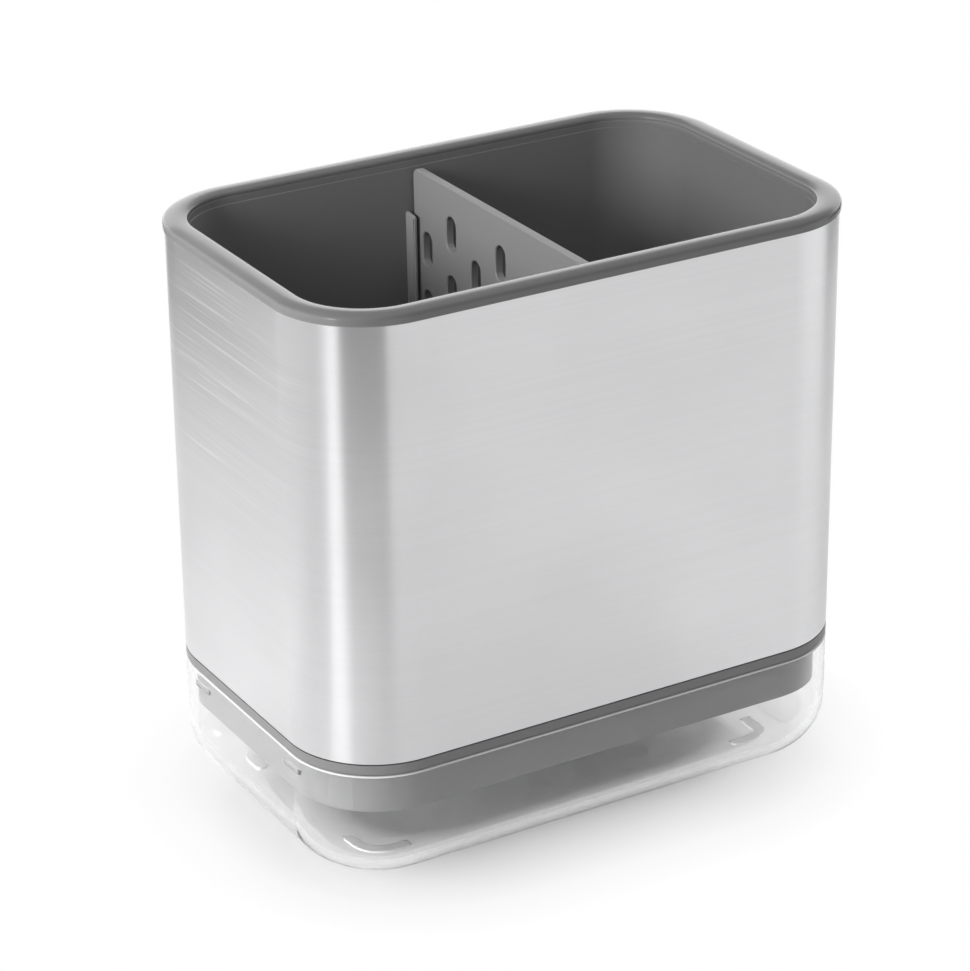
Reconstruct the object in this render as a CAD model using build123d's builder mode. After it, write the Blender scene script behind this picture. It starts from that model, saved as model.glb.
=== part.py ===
from build123d import *
from math import radians, tan
import os

# Kitchen sink caddy: a steel sleeve round a plastic tub, over a clear drip tray.
# Millimetres, +Z up, origin on the counter under the middle of the caddy.
# The long walls face -Y (front) and +Y (back).

# Outline shared by the tray, the sleeve and the collar
body_length = 165.0
body_depth = 107.0
corner_radius = 25.6

# Cuts run past the faces they start from by this much
cut_overrun = 2.0

# Gap between curved faces of pieces that meet
seat_gap = 0.3

# Drip tray
tray_height = 34.4
tray_wall = 2.4
tray_bottom_radius = 15.5
tray_lip_fillet = 0.4
bump_length = 8.0
bump_height = 2.4
bump_crest = 1.2
bump_proud = 0.5
bump_depth = 4.8
bump_spread = 26.0

# Corner pads under the tray
pad_thickness = 1.2
pad_proud = 0.8
pad_width = 3.2
pad_edge_inset = 1.2
pad_leg = 5.0
pad_end_radius = 1.2
pad_pocket_gap = 0.1

# Base collar
band_height = 3.6
band_fillet = 0.4
skirt_drop = 11.9
skirt_inset = 3.3
skirt_wall = 1.6
skirt_fillet = 0.5
upstand_height = 6.0
upstand_wall = 1.8

# Steel sleeve
sleeve_height = 121.2
sleeve_wall = 0.6

# Rim ring
rim_height = 3.0
rim_overhang = 0.5
rim_inner_inset = 6.2
rim_plate = 1.6
rim_outer_fillet = 1.5
rim_inner_fillet = 0.7
rim_underside_fillet = 0.3
rim_leg_height = 6.0
rim_leg_wall = 1.2

# Liner
liner_wall = 2.3
liner_outer_inset = 4.2
liner_draft_angle = 0.5
liner_floor = 2.0
liner_floor_recess = 2.0
liner_floor_radius = 5.0
liner_corner_fillet = 2.0
mouth_step = 0.3
mouth_depth = 2.0
rib_width = 1.7
rib_proud = 4.3
rib_root = 0.6
rib_below_rim = 13.0
rib_edge_fillet = 0.5
drain_diameter = 8.0
drain_column_share = 0.097
drain_row_share = 0.0897
drain_columns = 9
drain_rows = 7

# Divider
divider_thickness = 2.4
divider_side_gap = 0.5
divider_face_gap = 0.5
divider_below_rim = 0.5
divider_top_radius = 2.5
divider_bottom_radius = 7.0
divider_edge_fillet = 0.5
slot_width = 5.2
slot_length = 10.0
slot_column_share = 0.1215
slot_row_share = 0.1403
slot_top_drop = 13.3
slot_columns = 7
slot_rows = 7

# Catches that hold the liner to the rim ring and to the collar
catch_length = 14.0
catch_height = 2.0
catch_reach = 0.6
catch_gap = 0.2
catch_root = 1.0
catch_spread = 40.0
upper_catch_drop = 3.5
lower_catch_rise = 6.5

# Heights that follow from the sizes above
tray_bottom_z = pad_proud
tray_top_z = tray_bottom_z + tray_height
band_top_z = tray_top_z + band_height
skirt_bottom_z = tray_top_z - skirt_drop
sleeve_top_z = band_top_z + sleeve_height
liner_bottom_z = skirt_bottom_z + liner_floor_recess
liner_floor_z = liner_bottom_z + liner_floor
liner_top_z = sleeve_top_z + rim_height - rim_plate
draft_slope = tan(radians(liner_draft_angle))
liner_inner_inset = liner_outer_inset + liner_wall
upper_catch_z = sleeve_top_z - upper_catch_drop
lower_catch_z = skirt_bottom_z + lower_catch_rise


def outline_at(inset, mode=Mode.ADD):
    """Draw the rounded outline that lies inside the body's outline by an inset."""
    RectangleRounded(body_length - 2 * inset, body_depth - 2 * inset, corner_radius - inset, mode=mode)


def ring_between(outer_inset, inner_inset, low_z, height, mode=Mode.ADD):
    """Extrude the band between two insets of the body's outline upwards from a height."""
    with BuildSketch(Plane.XY.offset(low_z)) as band:
        outline_at(outer_inset)
        outline_at(inner_inset, mode=Mode.SUBTRACT)
    extrude(band.sketch, amount=height, mode=mode)


def wall_places():
    """List the catches' places as (turn about Z, distance to the wall, place along it)."""
    places = []
    for turn in (0, 180):
        for along in (-catch_spread, catch_spread):
            places.append((turn, body_depth / 2, along))
    for turn in (90, 270):
        places.append((turn, body_length / 2, 0))
    return places


def wall_blocks(inner_inset, outer_inset, centre_z, length, height, mode=Mode.ADD):
    """Place one block per catch, between two insets of the body's outline."""
    for turn, reach, along in wall_places():
        middle = reach - (inner_inset + outer_inset) / 2
        with Locations(Location((0, 0, centre_z), (0, 0, turn))):
            with Locations((along, middle, 0)):
                Box(length, inner_inset - outer_inset, height, mode=mode)


def drafted_inset(inset, height_z):
    """Inset of a drafted wall of the liner at a height, from its inset at the top."""
    return inset + (liner_top_z - height_z) * draft_slope


# Steel sleeve, an open tube that stands on the collar's band
with BuildPart() as steel_sleeve:
    ring_between(0, sleeve_wall, band_top_z, sleeve_height)

# Rim ring, resting on the sleeve's top edge, with a pair of legs inside the sleeve
outer_leg_inset = sleeve_wall + seat_gap
inner_leg_inset = liner_outer_inset - seat_gap
with BuildPart() as rim_ring:
    ring_between(-rim_overhang, rim_inner_inset, sleeve_top_z, rim_height)
    rim_top = rim_ring.faces().sort_by(Axis.Z)[-1]
    fillet(rim_top.outer_wire().edges(), rim_outer_fillet)
    rim_top = rim_ring.faces().sort_by(Axis.Z)[-1]
    fillet(rim_top.inner_wires()[0].edges(), rim_inner_fillet)
    rim_underside = rim_ring.faces().sort_by(Axis.Z)[0]
    fillet(rim_underside.outer_wire().edges(), rim_underside_fillet)
    ring_between(
        inner_leg_inset,
        rim_inner_inset + cut_overrun,
        sleeve_top_z - cut_overrun,
        liner_top_z - sleeve_top_z + cut_overrun,
        mode=Mode.SUBTRACT,
    )
    leg_bottom_z = sleeve_top_z - rim_leg_height
    ring_between(outer_leg_inset, outer_leg_inset + rim_leg_wall, leg_bottom_z, rim_leg_height)
    ring_between(inner_leg_inset - rim_leg_wall, inner_leg_inset, leg_bottom_z, rim_leg_height)
    wall_blocks(
        inner_leg_inset + cut_overrun,
        inner_leg_inset - catch_reach - catch_gap,
        upper_catch_z,
        catch_length + 2 * catch_gap,
        catch_height + 2 * catch_gap,
        mode=Mode.SUBTRACT,
    )

# Base collar: the band under the sleeve, the skirt in the tray, the upstand in the sleeve
collar_inner_inset = skirt_inset + skirt_wall
with BuildPart() as base_collar:
    ring_between(0, collar_inner_inset, tray_top_z, band_height)
    band_top = base_collar.faces().sort_by(Axis.Z)[-1]
    fillet(band_top.outer_wire().edges(), band_fillet)
    band_underside = base_collar.faces().sort_by(Axis.Z)[0]
    fillet(band_underside.outer_wire().edges(), band_fillet)
    ring_between(outer_leg_inset, outer_leg_inset + upstand_wall, band_top_z, upstand_height)
    ring_between(skirt_inset, collar_inner_inset, skirt_bottom_z, skirt_drop)
    skirt_edge = base_collar.faces().sort_by(Axis.Z)[0]
    fillet(skirt_edge.outer_wire().edges(), skirt_fillet)
    wall_blocks(
        collar_inner_inset + cut_overrun,
        collar_inner_inset - catch_reach - catch_gap,
        lower_catch_z,
        catch_length + 2 * catch_gap,
        catch_height + 2 * catch_gap,
        mode=Mode.SUBTRACT,
    )

# Liner: the drafted tub, its guide ribs, catches and drain holes
rib_top_z = sleeve_top_z - rib_below_rim
rib_inner_x = divider_thickness / 2 + divider_face_gap
rib_front_y = body_depth / 2 - liner_inner_inset - rib_proud
rib_back_y = body_depth / 2 - liner_inner_inset + rib_root
rib_low_z = liner_floor_z - liner_floor / 2
drain_column_pitch = body_length * drain_column_share
drain_row_pitch = body_depth * drain_row_share
with BuildPart() as cavity:
    with BuildSketch(Plane.XY.offset(liner_top_z)):
        outline_at(liner_inner_inset)
    with BuildSketch(Plane.XY.offset(liner_floor_z)):
        outline_at(drafted_inset(liner_inner_inset, liner_floor_z))
    loft()
    fillet(cavity.faces().sort_by(Axis.Z)[0].edges(), liner_floor_radius)

with BuildPart() as guide_rib:
    with BuildSketch(Plane.XZ.offset(-rib_front_y)):
        with Locations((rib_inner_x + rib_width / 2, (rib_low_z + rib_top_z) / 2)):
            SlotOverall(rib_top_z - rib_low_z, rib_width, rotation=90)
        with Locations((rib_inner_x + rib_width / 2, rib_low_z)):
            Rectangle(rib_width, rib_width, align=(Align.CENTER, Align.MIN))
    extrude(amount=-(rib_back_y - rib_front_y))
    fillet(guide_rib.faces().sort_by(Axis.Y)[0].edges(), rib_edge_fillet)

with BuildPart() as liner:
    with BuildSketch(Plane.XY.offset(liner_top_z)):
        outline_at(liner_outer_inset)
    with BuildSketch(Plane.XY.offset(liner_bottom_z)):
        outline_at(drafted_inset(liner_outer_inset, liner_bottom_z))
    loft()
    fillet(liner.faces().sort_by(Axis.Z)[0].edges(), liner_corner_fillet)
    add(cavity.part, mode=Mode.SUBTRACT)
    with BuildSketch(Plane.XY.offset(liner_top_z)):
        outline_at(liner_inner_inset - mouth_step)
    extrude(amount=-mouth_depth, mode=Mode.SUBTRACT)
    for turn in (0, 180):
        with Locations(Location((0, 0, 0), (0, 0, turn))):
            add(guide_rib.part)
            add(mirror(guide_rib.part, about=Plane.YZ, mode=Mode.PRIVATE))
    wall_blocks(
        drafted_inset(liner_outer_inset, upper_catch_z) + catch_root,
        inner_leg_inset - catch_reach,
        upper_catch_z,
        catch_length,
        catch_height,
    )
    wall_blocks(
        drafted_inset(liner_outer_inset, lower_catch_z) + catch_root,
        collar_inner_inset - catch_reach,
        lower_catch_z,
        catch_length,
        catch_height,
    )
    drain_places = []
    for row in range(drain_rows):
        row_y = (row - (drain_rows - 1) / 2) * drain_row_pitch
        columns_in_row = drain_columns - row % 2
        for column in range(columns_in_row):
            column_x = (column - (columns_in_row - 1) / 2) * drain_column_pitch
            drain_places.append((column_x, row_y))
    with BuildSketch(Plane.XY.offset(liner_bottom_z - cut_overrun)):
        with Locations(*drain_places):
            Circle(drain_diameter / 2)
    extrude(amount=liner_floor + 2 * cut_overrun, mode=Mode.SUBTRACT)

# Divider, a slotted plate that stands on the liner's floor between the guide ribs
divider_top_z = sleeve_top_z - divider_below_rim
divider_top_half = body_depth / 2 - drafted_inset(liner_inner_inset, divider_top_z) - divider_side_gap
divider_low_half = body_depth / 2 - drafted_inset(liner_inner_inset, liner_floor_z) - divider_side_gap
slot_column_pitch = body_depth * slot_column_share
slot_row_pitch = sleeve_height * slot_row_share
with BuildPart() as divider:
    with BuildSketch(Plane.YZ) as divider_plate:
        with BuildLine():
            Polyline(
                (-divider_low_half, liner_floor_z),
                (divider_low_half, liner_floor_z),
                (divider_top_half, divider_top_z),
                (-divider_top_half, divider_top_z),
                close=True,
            )
        make_face()
        plate_corners = divider_plate.vertices().group_by(Axis.Y)
        fillet(plate_corners[0], divider_bottom_radius)
        plate_corners = divider_plate.vertices().group_by(Axis.Y)
        fillet(plate_corners[-1], divider_top_radius)
    extrude(amount=divider_thickness / 2, both=True)
    plate_faces = divider.faces().filter_by(Axis.X)
    fillet(plate_faces.edges(), divider_edge_fillet)
    slot_places = []
    for column in range(slot_columns):
        column_y = (column - (slot_columns - 1) / 2) * slot_column_pitch
        dropped = (column + 1) % 2
        for row in range(slot_rows - dropped):
            row_z = divider_top_z - slot_top_drop - (row + dropped / 2) * slot_row_pitch
            slot_places.append((column_y, row_z))
    with BuildSketch(Plane.YZ.offset(-divider_thickness)):
        with Locations(*slot_places):
            SlotOverall(slot_length, slot_width, rotation=90)
    extrude(amount=2 * divider_thickness, mode=Mode.SUBTRACT)


def draw_pad(sketch, gap, side_x, side_y):
    """Draw one corner pad's outline, widened by a gap, at the corner on the given sides."""
    outer_inset = tray_bottom_radius + pad_edge_inset - gap
    inner_inset = tray_bottom_radius + pad_edge_inset + pad_width + gap
    window = corner_radius - outer_inset + pad_leg + gap
    outline_at(outer_inset)
    outline_at(inner_inset, mode=Mode.SUBTRACT)
    window_x = side_x * (body_length / 2 - outer_inset - window / 2)
    window_y = side_y * (body_depth / 2 - outer_inset - window / 2)
    with Locations((window_x, window_y)):
        Rectangle(window, window, mode=Mode.INTERSECT)
    far_x = side_x * (body_length / 2 + body_length)
    far_y = side_y * (body_depth / 2 + body_length)
    leg_ends = sketch.vertices().sort_by_distance((far_x, far_y, 0))[-4:]
    fillet(leg_ends, pad_end_radius)


pad_corners = {
    "foot_pad_front_left": (-1, -1),
    "foot_pad_front_right": (1, -1),
    "foot_pad_back_left": (-1, 1),
    "foot_pad_back_right": (1, 1),
}

pocket_depth = pad_thickness - pad_proud

# Drip tray, an open clear tray with a wide rounded lower edge and four detent bumps
inner_wall_x = body_length / 2 - tray_wall
bump_z = tray_top_z - bump_depth
with BuildPart() as detent_bump:
    with BuildSketch(Plane.XZ.offset(bump_length / 2)):
        with BuildLine():
            Polyline(
                (inner_wall_x + tray_wall / 2, bump_z - bump_height / 2),
                (inner_wall_x, bump_z - bump_height / 2),
                (inner_wall_x - bump_proud, bump_z - bump_crest / 2),
                (inner_wall_x - bump_proud, bump_z + bump_crest / 2),
                (inner_wall_x, bump_z + bump_height / 2),
                (inner_wall_x + tray_wall / 2, bump_z + bump_height / 2),
                close=True,
            )
        make_face()
    extrude(amount=-bump_length)

with BuildPart() as drip_tray:
    with BuildSketch(Plane.XY.offset(tray_bottom_z)):
        outline_at(0)
    extrude(amount=tray_height)
    fillet(drip_tray.faces().sort_by(Axis.Z)[0].edges(), tray_bottom_radius)
    offset(amount=-tray_wall, openings=drip_tray.faces().sort_by(Axis.Z)[-1])
    tray_lip = drip_tray.faces().sort_by(Axis.Z)[-1]
    fillet(tray_lip.edges(), tray_lip_fillet)
    for turn in (0, 180):
        for along in (-bump_spread, bump_spread):
            with Locations(Location((0, 0, 0), (0, 0, turn))):
                with Locations((0, along, 0)):
                    add(detent_bump.part)
    for side_x, side_y in pad_corners.values():
        with BuildSketch(Plane.XY.offset(tray_bottom_z + pocket_depth)) as pocket_outline:
            draw_pad(pocket_outline, pad_pocket_gap, side_x, side_y)
        extrude(amount=-(pocket_depth + cut_overrun), mode=Mode.SUBTRACT)

os.makedirs("parts", exist_ok=True)

# Corner pads, each set in its pocket in the tray's underside
for pad_name, pad_sides in pad_corners.items():
    with BuildPart() as corner_pad:
        with BuildSketch() as pad_outline:
            draw_pad(pad_outline, 0, *pad_sides)
        extrude(amount=pad_thickness)
    corner_pad.part.label = pad_name
    export_step(corner_pad.part, f"parts/{pad_name}.step")

steel_sleeve.part.label = "steel_sleeve"
export_step(steel_sleeve.part, "parts/steel_sleeve.step")
rim_ring.part.label = "rim_ring"
export_step(rim_ring.part, "parts/rim_ring.step")
liner.part.label = "liner"
export_step(liner.part, "parts/liner.step")
base_collar.part.label = "base_collar"
export_step(base_collar.part, "parts/base_collar.step")
divider.part.label = "divider"
export_step(divider.part, "parts/divider.step")
drip_tray.part.label = "drip_tray"
export_step(drip_tray.part, "parts/drip_tray.step")
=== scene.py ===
"""Kitchen sink caddy: finishes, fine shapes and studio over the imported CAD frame."""

import logging
import math
from collections.abc import Mapping, Sequence
from dataclasses import dataclass, field
from enum import Enum
from functools import cache

import bmesh
import bpy
from mathutils import Euler, Matrix, Vector


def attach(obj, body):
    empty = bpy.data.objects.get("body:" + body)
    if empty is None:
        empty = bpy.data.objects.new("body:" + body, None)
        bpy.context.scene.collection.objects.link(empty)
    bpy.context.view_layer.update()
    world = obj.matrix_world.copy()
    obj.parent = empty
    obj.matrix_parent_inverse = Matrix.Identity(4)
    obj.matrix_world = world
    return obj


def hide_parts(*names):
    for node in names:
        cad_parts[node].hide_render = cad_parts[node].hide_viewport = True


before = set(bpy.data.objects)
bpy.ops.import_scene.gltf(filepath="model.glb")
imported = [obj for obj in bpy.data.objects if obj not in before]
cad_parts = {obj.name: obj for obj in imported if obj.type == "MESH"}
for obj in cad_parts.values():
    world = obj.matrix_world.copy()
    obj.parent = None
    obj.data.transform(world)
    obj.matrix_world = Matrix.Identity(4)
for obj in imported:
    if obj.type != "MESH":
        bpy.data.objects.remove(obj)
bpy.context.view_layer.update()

MM = 0.001

# How the shared surface effects spread, as scales of their noise and stretches of its vector
TONE_STRETCH = (1.0, 1.0, 0.34)
SCRATCH_STRETCH = (2.2, 2.2, 0.4)
WORN_PATCH_SCALE = 45.0
CLOUD_SCALE = 22.0
MOTTLE_PER_GRAIN = 0.02
SPECKS_PER_SMUDGE = 40.0

# The most that a point beside an arc stands off it, and the same as a share of a small arc's radius
FLAT_MARGIN = 0.3 * MM
FLAT_MARGIN_SHARE = 0.2

# The cutter's unit drum: what lies past this height flares, and how sharply its two ends part
FLARE_FROM = 0.3
PARTING = 1000.0

POCKET_ARC_STEPS = 12
POCKET_WINDOW_HEIGHT = 20.0 * MM
MERGE_DISTANCE = 0.001 * MM

# The Mix node's sockets for two colours and their result
MIX_COLOURS = (6, 7)
MIX_RESULT = 2

Colour = tuple[float, float, float]
Point2 = tuple[float, float]
Point3 = tuple[float, float, float]
Socket = bpy.types.NodeSocket
NodeTree = bpy.types.NodeTree
Material = bpy.types.Material
Mesh = bpy.types.Mesh
Piece = bpy.types.Object
log = logging.getLogger("sink_caddy")


class Body(Enum):
    """The bodies that the pieces ride on."""

    TRAY = "tray"
    CADDY = "caddy"
    DIVIDER = "divider"


class Slot(Enum):
    """The record's material slots, one named for each new piece."""

    RIM = "rim_plastic"
    LINER = "liner_plastic"
    COLLAR = "collar_plastic"
    DIVIDER = "divider_plastic"
    CLEAR = "clear_plastic"


class Kind(Enum):
    """The kinds of socket that a node group shows."""

    NUMBER = "NodeSocketFloat"
    COUNT = "NodeSocketInt"
    VECTOR = "NodeSocketVector"
    SHAPE = "NodeSocketGeometry"
    FINISH = "NodeSocketMaterial"


Inputs = Mapping[str, Kind | float | int]


class Graph:
    """A node tree being built, with short ways to add and join its nodes."""

    def __init__(self, tree: NodeTree) -> None:
        """Keep the tree that the nodes go into."""
        self.tree = tree

    def node(
        self, kind: str, inputs: Mapping[str | int, object] | None = None, **settings: object
    ) -> bpy.types.Node:
        """Add one node.

        Args:
            kind: The node's type name.
            inputs: A value or a socket for each input, by its name or number.
            **settings: The node's own settings, such as its operation.

        Returns:
            The new node.
        """
        made = self.tree.nodes.new(kind)
        for name, value in settings.items():
            setattr(made, name, value)
        for name, value in (inputs or {}).items():
            self.feed(made.inputs[name], value)
        return made

    def out(
        self, kind: str, inputs: Mapping[str | int, object] | None = None, **settings: object
    ) -> Socket:
        """Add one node as node() does, and return its first output."""
        return self.node(kind, inputs, **settings).outputs[0]

    def feed(self, socket: Socket, value: object) -> None:
        """Link a socket to another, or set its value.

        Args:
            socket: The input socket.
            value: The other socket, or the value.
        """
        if isinstance(value, Socket):
            self.tree.links.new(value, socket)
        else:
            socket.default_value = value

    def math(self, operation: str, first: object, second: object = 0.0) -> Socket:
        """Add one Math node.

        Args:
            operation: The operation's name.
            first: The first number or socket.
            second: The second number or socket.

        Returns:
            The result's socket.
        """
        return self.out("ShaderNodeMath", {0: first, 1: second}, operation=operation)

    def plus(self, first: object, second: object) -> Socket:
        """Add two numbers or sockets."""
        return self.math("ADD", first, second)

    def minus(self, first: object, second: object) -> Socket:
        """Take the second number or socket from the first."""
        return self.math("SUBTRACT", first, second)

    def times(self, first: object, second: object) -> Socket:
        """Multiply two numbers or sockets."""
        return self.math("MULTIPLY", first, second)

    def between(self, value: object, low: object, high: object) -> Socket:
        """Hold a number between two others."""
        return self.math("MINIMUM", self.math("MAXIMUM", value, low), high)

    def ranged(self, value: object, source: Point2, target: tuple[object, object]) -> Socket:
        """Map a number from one range to another, and return its socket."""
        inputs = dict(enumerate((value, *source, *target)))
        return self.out("ShaderNodeMapRange", inputs)

    def xyz(self, x: object = 0.0, y: object = 0.0, z: object = 0.0) -> Socket:
        """Join three numbers into a vector and return its socket."""
        return self.out("ShaderNodeCombineXYZ", {0: x, 1: y, 2: z})

    def split(self, vector: Socket) -> Sequence[Socket]:
        """Return the sockets of a vector's three numbers."""
        return self.node("ShaderNodeSeparateXYZ", {0: vector}).outputs

    def vectors(self, operation: str, *vectors: object) -> Mapping[str, Socket]:
        """Add one Vector Math node and return its outputs, Vector and Value."""
        return self.node("ShaderNodeVectorMath", dict(enumerate(vectors)), operation=operation).outputs

    def scaled(self, vector: object, scale: object) -> Socket:
        """Multiply a vector by a vector, and return the result's socket."""
        return self.vectors("MULTIPLY", vector, scale)["Vector"]

    def noise(self, vector: object, scale: object, detail: float) -> Socket:
        """Return the socket of a noise's height over a vector."""
        return self.out("ShaderNodeTexNoise", {"Vector": vector, "Scale": scale, "Detail": detail})

    def ramp(self, value: object, stops: Sequence[Point2]) -> Socket:
        """Map a number through grey stops.

        Args:
            value: The number or socket that the ramp reads, from 0 to 1.
            stops: Place and grey level of each stop, in order.

        Returns:
            The ramp's colour socket.
        """
        node = self.node("ShaderNodeValToRGB", {0: value})
        elements = node.color_ramp.elements
        while len(elements) < len(stops):
            elements.new(0.5)
        for element, (place, level) in zip(elements, stops):
            element.position = place
            element.color = (level, level, level, 1.0)
        return node.outputs[0]

    def mixed(self, share: object, first: Socket, second: Socket) -> Socket:
        """Mix two shaders, and return the mix's socket."""
        return self.out("ShaderNodeMixShader", {0: share, 1: first, 2: second})

    def boolean(self, operation: str, *shapes: Socket) -> Socket:
        """Join shapes exactly; a difference takes the second out of the first.

        Args:
            operation: The operation's name.
            *shapes: The sockets of the shapes.

        Returns:
            The joined shape's socket.
        """
        node = self.node("GeometryNodeMeshBoolean", operation=operation, solver="EXACT")
        for number, shape in enumerate(shapes):
            self.feed(node.inputs[number if operation == "DIFFERENCE" else 1], shape)
        return node.outputs[0]

    def count_four(self) -> tuple[Socket, Socket]:
        """Count four points with two numbers of 0 or 1, of which the second changes each time.

        Returns:
            The slow number's socket and the quick one's.
        """
        index = self.out("GeometryNodeInputIndex")
        slow = self.math("FLOOR", self.times(index, 0.5))
        return slow, self.minus(index, self.times(slow, 2.0))

    def either_way(self, share: Socket, reach: object) -> Socket:
        """Return minus a reach where a share is 0, and the reach itself where it is 1."""
        return self.times(self.minus(self.times(share, 2.0), 1.0), reach)

    def four_copies(self, shape: Socket, spot: Socket, turn: object = (0.0, 0.0, 0.0)) -> Socket:
        """Put four real copies of a shape at the spots of four points.

        Args:
            shape: The shape's socket.
            spot: The socket of each point's place.
            turn: The rotation of each copy.

        Returns:
            The socket of the copies.
        """
        points = self.out("GeometryNodePoints", {"Count": 4, "Position": spot})
        copies = self.out(
            "GeometryNodeInstanceOnPoints", {0: points, "Instance": shape, "Rotation": turn}
        )
        return self.out("GeometryNodeRealizeInstances", {0: copies})


@dataclass
class Group:
    """A node group with its graph and its two end nodes."""

    tree: NodeTree
    graph: Graph
    given: bpy.types.Node
    result: bpy.types.Node

    @classmethod
    def new(
        cls,
        name: str,
        inputs: Inputs,
        outputs: Mapping[str, Kind],
        tree_type: str = "GeometryNodeTree",
    ) -> "Group":
        """Make an empty group with named sockets.

        Args:
            name: The group's name.
            inputs: Default number, or kind where it has none, of each input, by its name.
            outputs: Kind of each output, by its name.
            tree_type: The kind of node tree.

        Returns:
            The group, ready for its nodes.
        """
        tree = bpy.data.node_groups.new(name, tree_type)
        for label, value in inputs.items():
            plain = Kind.COUNT if isinstance(value, int) else Kind.NUMBER
            kind = value if isinstance(value, Kind) else plain
            socket = tree.interface.new_socket(name=label, in_out="INPUT", socket_type=kind.value)
            if kind is not value:
                socket.default_value = value
        for label, kind in outputs.items():
            tree.interface.new_socket(name=label, in_out="OUTPUT", socket_type=kind.value)
        graph = Graph(tree)
        return cls(tree, graph, graph.node("NodeGroupInput"), graph.node("NodeGroupOutput"))

    def input(self, name: str) -> Socket:
        """Return the socket that brings in a named input."""
        return self.given.outputs[name]

    def give(self, name: str, socket: Socket) -> None:
        """Send a socket to a named output."""
        self.graph.feed(self.result.inputs[name], socket)

    def use(self, tree: NodeTree, inputs: Mapping[str | int, object] | None = None) -> Socket:
        """Place another shape group, and pass on the inputs that both groups have.

        Args:
            tree: The other group's tree.
            inputs: Values for inputs that only the other group has.

        Returns:
            The other group's first output.
        """
        node = self.graph.node("GeometryNodeGroup", inputs, node_tree=tree)
        own = {socket.name for socket in self.given.outputs}
        for socket in node.inputs:
            if socket.name in own:
                self.graph.feed(socket, self.input(socket.name))
        return node.outputs[0]

    def give_finished(self, name: str, shape: Socket) -> None:
        """Send a shape to a named output as real geometry that wears the group's finish.

        Args:
            name: The output's name.
            shape: The shape's socket.
        """
        real = self.graph.out("GeometryNodeRealizeInstances", {0: shape})
        finished = {0: real, "Material": self.input("Finish")}
        self.give(name, self.graph.out("GeometryNodeSetMaterial", finished))


# Surface effects shared by the finishes


@cache
def brushed_streaks() -> NodeTree:
    """Build the effect of level brushing lines round upright walls.

    Returns:
        The effect's group.
    """
    group = Group.new(
        "Brushed Streaks",
        {
            "Vector": Kind.VECTOR,
            "Lines": 3200.0,
            "Stretch": 400.0,
            "Worn Place": Kind.VECTOR,
            "Worn Reach": 0.06,
        },
        dict.fromkeys(("Height", "Tone", "Worn", "Scratch", "Cloud"), Kind.NUMBER),
        "ShaderNodeTree",
    )
    graph = group.graph
    lines = group.input("Lines")
    vector = group.input("Vector")
    level = graph.math("DIVIDE", lines, group.input("Stretch"))
    fine = graph.scaled(vector, graph.xyz(level, level, lines))
    group.give("Height", graph.noise(fine, 1.0, 2.0))
    coarse = graph.scaled(fine, TONE_STRETCH)
    group.give("Tone", graph.ramp(graph.noise(coarse, 1.0, 3.0), [(0.3, 0.0), (0.7, 1.0)]))
    apart = graph.vectors("DISTANCE", vector, group.input("Worn Place"))["Value"]
    near = graph.ramp(graph.math("DIVIDE", apart, group.input("Worn Reach")), [(0.3, 1.0), (1.0, 0.0)])
    patch = graph.ramp(graph.noise(vector, WORN_PATCH_SCALE, 1.0), [(0.3, 0.3), (0.6, 1.0)])
    worn = graph.times(near, patch)
    group.give("Worn", worn)
    sparse = graph.scaled(fine, SCRATCH_STRETCH)
    line = graph.ramp(graph.noise(sparse, 1.0, 1.0), [(0.56, 0.0), (0.7, 1.0)])
    group.give("Scratch", graph.times(line, worn))
    group.give("Cloud", graph.noise(vector, CLOUD_SCALE, 2.0))
    return group.tree


@cache
def moulded_grain() -> NodeTree:
    """Build the effect of fine moulded grain with a soft mottle under it.

    Returns:
        The effect's group.
    """
    group = Group.new(
        "Moulded Grain",
        {"Vector": Kind.VECTOR, "Grains": 2500.0},
        {"Height": Kind.NUMBER, "Mottle": Kind.NUMBER},
        "ShaderNodeTree",
    )
    graph = group.graph
    grains = group.input("Grains")
    vector = group.input("Vector")
    group.give("Height", graph.noise(vector, grains, 2.0))
    group.give("Mottle", graph.noise(vector, graph.times(grains, MOTTLE_PER_GRAIN), 3.0))
    return group.tree


@cache
def handling_marks() -> NodeTree:
    """Build the effect of faint smudges and settled dust, strongest on faces that look up.

    Returns:
        The effect's group.
    """
    group = Group.new(
        "Handling Marks",
        {"Vector": Kind.VECTOR, "Size": 40.0},
        {"Smudge": Kind.NUMBER, "Dust": Kind.NUMBER},
        "ShaderNodeTree",
    )
    graph = group.graph
    vector = group.input("Vector")
    size = group.input("Size")
    group.give("Smudge", graph.ramp(graph.noise(vector, size, 4.0), [(0.42, 0.0), (0.68, 1.0)]))
    speck_noise = graph.noise(vector, graph.times(size, SPECKS_PER_SMUDGE), 1.0)
    specks = graph.ramp(speck_noise, [(0.6, 0.0), (0.75, 1.0)])
    up = graph.split(graph.node("ShaderNodeNewGeometry").outputs["Normal"])[2]
    group.give("Dust", graph.times(specks, graph.math("MAXIMUM", up, 0.0)))
    return group.tree


# Finishes


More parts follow.
